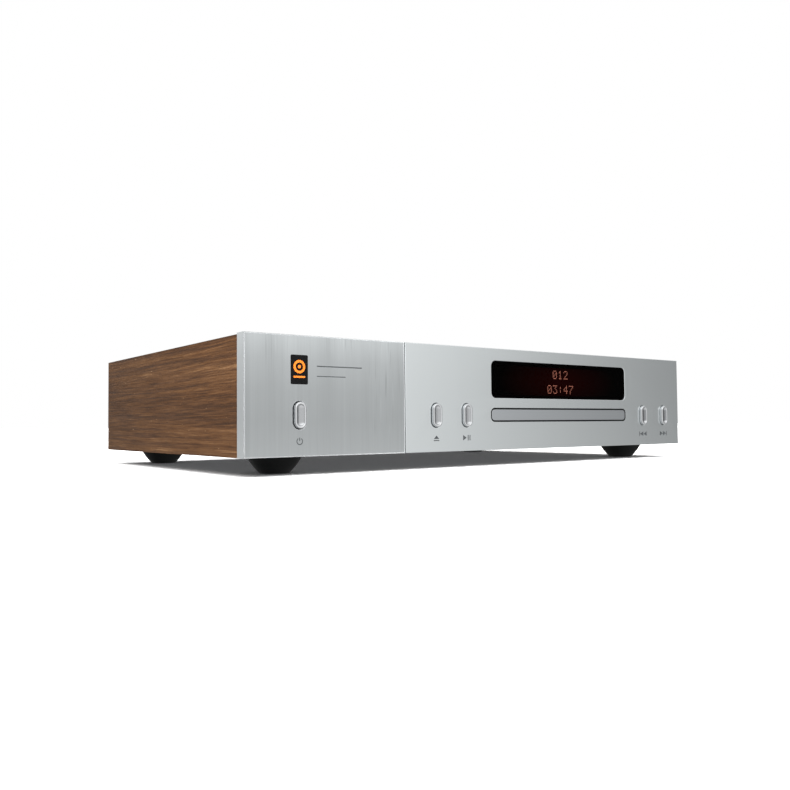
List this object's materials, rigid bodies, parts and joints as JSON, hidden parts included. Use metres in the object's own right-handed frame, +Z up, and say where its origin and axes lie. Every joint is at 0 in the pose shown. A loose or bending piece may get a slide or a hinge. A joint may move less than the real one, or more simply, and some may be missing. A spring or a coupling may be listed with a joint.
{
  "type": "compact disc player",
  "caption": "Full-width tray-loading disc player: two-part brushed aluminium front, smoked dot-matrix display window, oblong push buttons, walnut cabinet on tapered feet.",
  "frame": {"origin": "centre of the overall box at the underside of the feet, in metres", "axes": "+Z up, the front panel faces -Y, +X is to the right of a viewer facing the front"},
  "size_m": [0.449, 0.2862, 0.0906],
  "materials": {
    "brushed_aluminium": "vertical satin brushing, clear anodised",
    "button_aluminium": "fine satin",
    "bezel_aluminium": "fine satin",
    "walnut_veneer": "oiled walnut veneer with the grain from front to rear",
    "foot_rubber": "matte",
    "badge_black": "gloss with an orange ring",
    "smoked_acrylic": "dark smoked, polished",
    "display_black": "matte",
    "zinc_plated_steel": "zinc plated",
    "black_painted_steel": "fine texture",
    "bright_steel": "bright",
    "black_plastic": "moulded",
    "white_gear_plastic": "moulded acetal",
    "grey_plastic": "moulded",
    "belt_rubber": "matte",
    "circuit_board": "lacquered",
    "capacitor_sleeve": "shrink sleeve",
    "transformer_wrap": "wound polyester tape",
    "lens_holder": "coated lens in its holder",
    "jack_gold": "gold plated",
    "anodised_heat_sink": "black anodised",
    "ribbon_cable_grey": "flat cable"
  },
  "bodies": {
    "cabinet": {"front_panel_left": "brushed_aluminium", "front_panel_right": "brushed_aluminium", "badge_plate": "badge_black", "front_subframe": "zinc_plated_steel", "display_window": "smoked_acrylic", "display_module": "display_black", "display_board": "circuit_board", "power_switch_board": "circuit_board", "left_transport_board": "circuit_board", "right_transport_board": "circuit_board", "foot_front_left": "foot_rubber", "foot_front_right": "foot_rubber", "foot_rear_left": "foot_rubber", "foot_rear_right": "foot_rubber", "foot_screw_front_left": "bright_steel", "foot_screw_front_right": "bright_steel", "foot_screw_rear_left": "bright_steel", "foot_screw_rear_right": "bright_steel", "bottom_chassis": "zinc_plated_steel", "rear_panel": "black_painted_steel", "wood_left_side": "walnut_veneer", "wood_right_side": "walnut_veneer", "wood_top_panel": "walnut_veneer", "loader_frame": "black_plastic", "loading_motor": "bright_steel", "loading_belt": "belt_rubber", "clamp_bridge": "zinc_plated_steel", "main_board": "circuit_board", "power_board": "circuit_board", "filter_capacitor_1": "capacitor_sleeve", "filter_capacitor_2": "capacitor_sleeve", "heat_sink": "anodised_heat_sink", "power_transformer": "transformer_wrap", "transformer_clamp": "bright_steel", "line_out_jack_left": "jack_gold", "line_out_jack_right": "jack_gold", "digital_out_jack": "jack_gold", "optical_out_socket": "black_plastic", "mains_inlet": "black_plastic", "display_ribbon_cable": "ribbon_cable_grey"},
    "tray": {"disc_tray": "black_plastic", "tray_bezel": "bezel_aluminium"},
    "tray_gear": {"tray_drive_gear": "white_gear_plastic"},
    "belt_gear": {"belt_pulley_gear": "white_gear_plastic"},
    "motor_pulley": {"motor_pulley": "white_gear_plastic"},
    "traverse": {"traverse_chassis": "black_plastic", "spindle_motor": "bright_steel", "guide_rod_left": "bright_steel", "guide_rod_right": "bright_steel", "sled_motor": "bright_steel"},
    "turntable": {"spindle_turntable": "grey_plastic"},
    "clamper": {"disc_clamper": "grey_plastic"},
    "pickup": {"optical_pickup": "black_plastic"},
    "lens": {"pickup_lens": "lens_holder"},
    "lead_screw": {"lead_screw": "bright_steel"},
    "power_button": {"power_button": "button_aluminium"},
    "eject_button": {"eject_button": "button_aluminium"},
    "play_pause_button": {"play_pause_button": "button_aluminium"},
    "skip_back_button": {"skip_back_button": "button_aluminium"},
    "skip_forward_button": {"skip_forward_button": "button_aluminium"}
  },
  "joints": [
    {"name": "tray_slide", "type": "slide", "parent": "cabinet", "child": "tray", "axis": [0, -1, 0], "range_m": [0, 0.14]},
    {"name": "tray_gear_spin", "type": "hinge", "parent": "cabinet", "child": "tray_gear", "pos_m": [0.0145, -0.1089, 0.0349], "axis": [0, 0, 1], "range_deg": [0, 535]},
    {"name": "belt_gear_spin", "type": "hinge", "parent": "cabinet", "child": "belt_gear", "pos_m": [0.0355, -0.1089, 0.0321], "axis": [0, 0, 1], "range_deg": [-1337, 0]},
    {"name": "motor_pulley_spin", "type": "hinge", "parent": "cabinet", "child": "motor_pulley", "pos_m": [0.0755, -0.1089, 0.0301], "axis": [0, 0, 1], "range_deg": [-4202, 0]},
    {"name": "traverse_tilt", "type": "hinge", "parent": "cabinet", "child": "traverse", "pos_m": [0.0641, 0.0371, 0.03085], "axis": [1, 0, 0], "range_deg": [0, 3.5]},
    {"name": "spindle_spin", "type": "hinge", "parent": "traverse", "child": "turntable", "pos_m": [0.0641, -0.0629, 0.0411], "axis": [0, 0, 1], "continuous": true},
    {"name": "clamper_spin", "type": "hinge", "parent": "cabinet", "child": "clamper", "pos_m": [0.0641, -0.0629, 0.0481], "axis": [0, 0, 1], "continuous": true},
    {"name": "pickup_slide", "type": "slide", "parent": "traverse", "child": "pickup", "axis": [0, 1, 0], "range_m": [0, 0.034]},
    {"name": "lead_screw_spin", "type": "hinge", "parent": "traverse", "child": "lead_screw", "pos_m": [0.0921, -0.0209, 0.0271], "axis": [0, 1, 0], "range_deg": [0, 6120]},
    {"name": "lens_focus", "type": "slide", "parent": "pickup", "child": "lens", "axis": [0, 0, 1], "range_m": [-0.0004, 0.0004]},
    {"name": "power_press", "type": "slide", "parent": "cabinet", "child": "power_button", "axis": [0, 1, 0], "range_m": [0, 0.0012], "stiffness_N_per_m": 400},
    {"name": "eject_press", "type": "slide", "parent": "cabinet", "child": "eject_button", "axis": [0, 1, 0], "range_m": [0, 0.0012], "stiffness_N_per_m": 400},
    {"name": "play_pause_press", "type": "slide", "parent": "cabinet", "child": "play_pause_button", "axis": [0, 1, 0], "range_m": [0, 0.0012], "stiffness_N_per_m": 400},
    {"name": "skip_back_press", "type": "slide", "parent": "cabinet", "child": "skip_back_button", "axis": [0, 1, 0], "range_m": [0, 0.0012], "stiffness_N_per_m": 400},
    {"name": "skip_forward_press", "type": "slide", "parent": "cabinet", "child": "skip_forward_button", "axis": [0, 1, 0], "range_m": [0, 0.0012], "stiffness_N_per_m": 400}
  ],
  "couplings": [
    {"joint": "tray_gear_spin", "follows": "tray_slide", "rad_per_m": 66.667},
    {"joint": "belt_gear_spin", "follows": "tray_slide", "rad_per_m": -166.67},
    {"joint": "motor_pulley_spin", "follows": "tray_slide", "rad_per_m": -523.81},
    {"joint": "clamper_spin", "follows": "spindle_spin", "ratio": 1},
    {"joint": "lead_screw_spin", "follows": "pickup_slide", "rad_per_m": 3141.6}
  ]
}
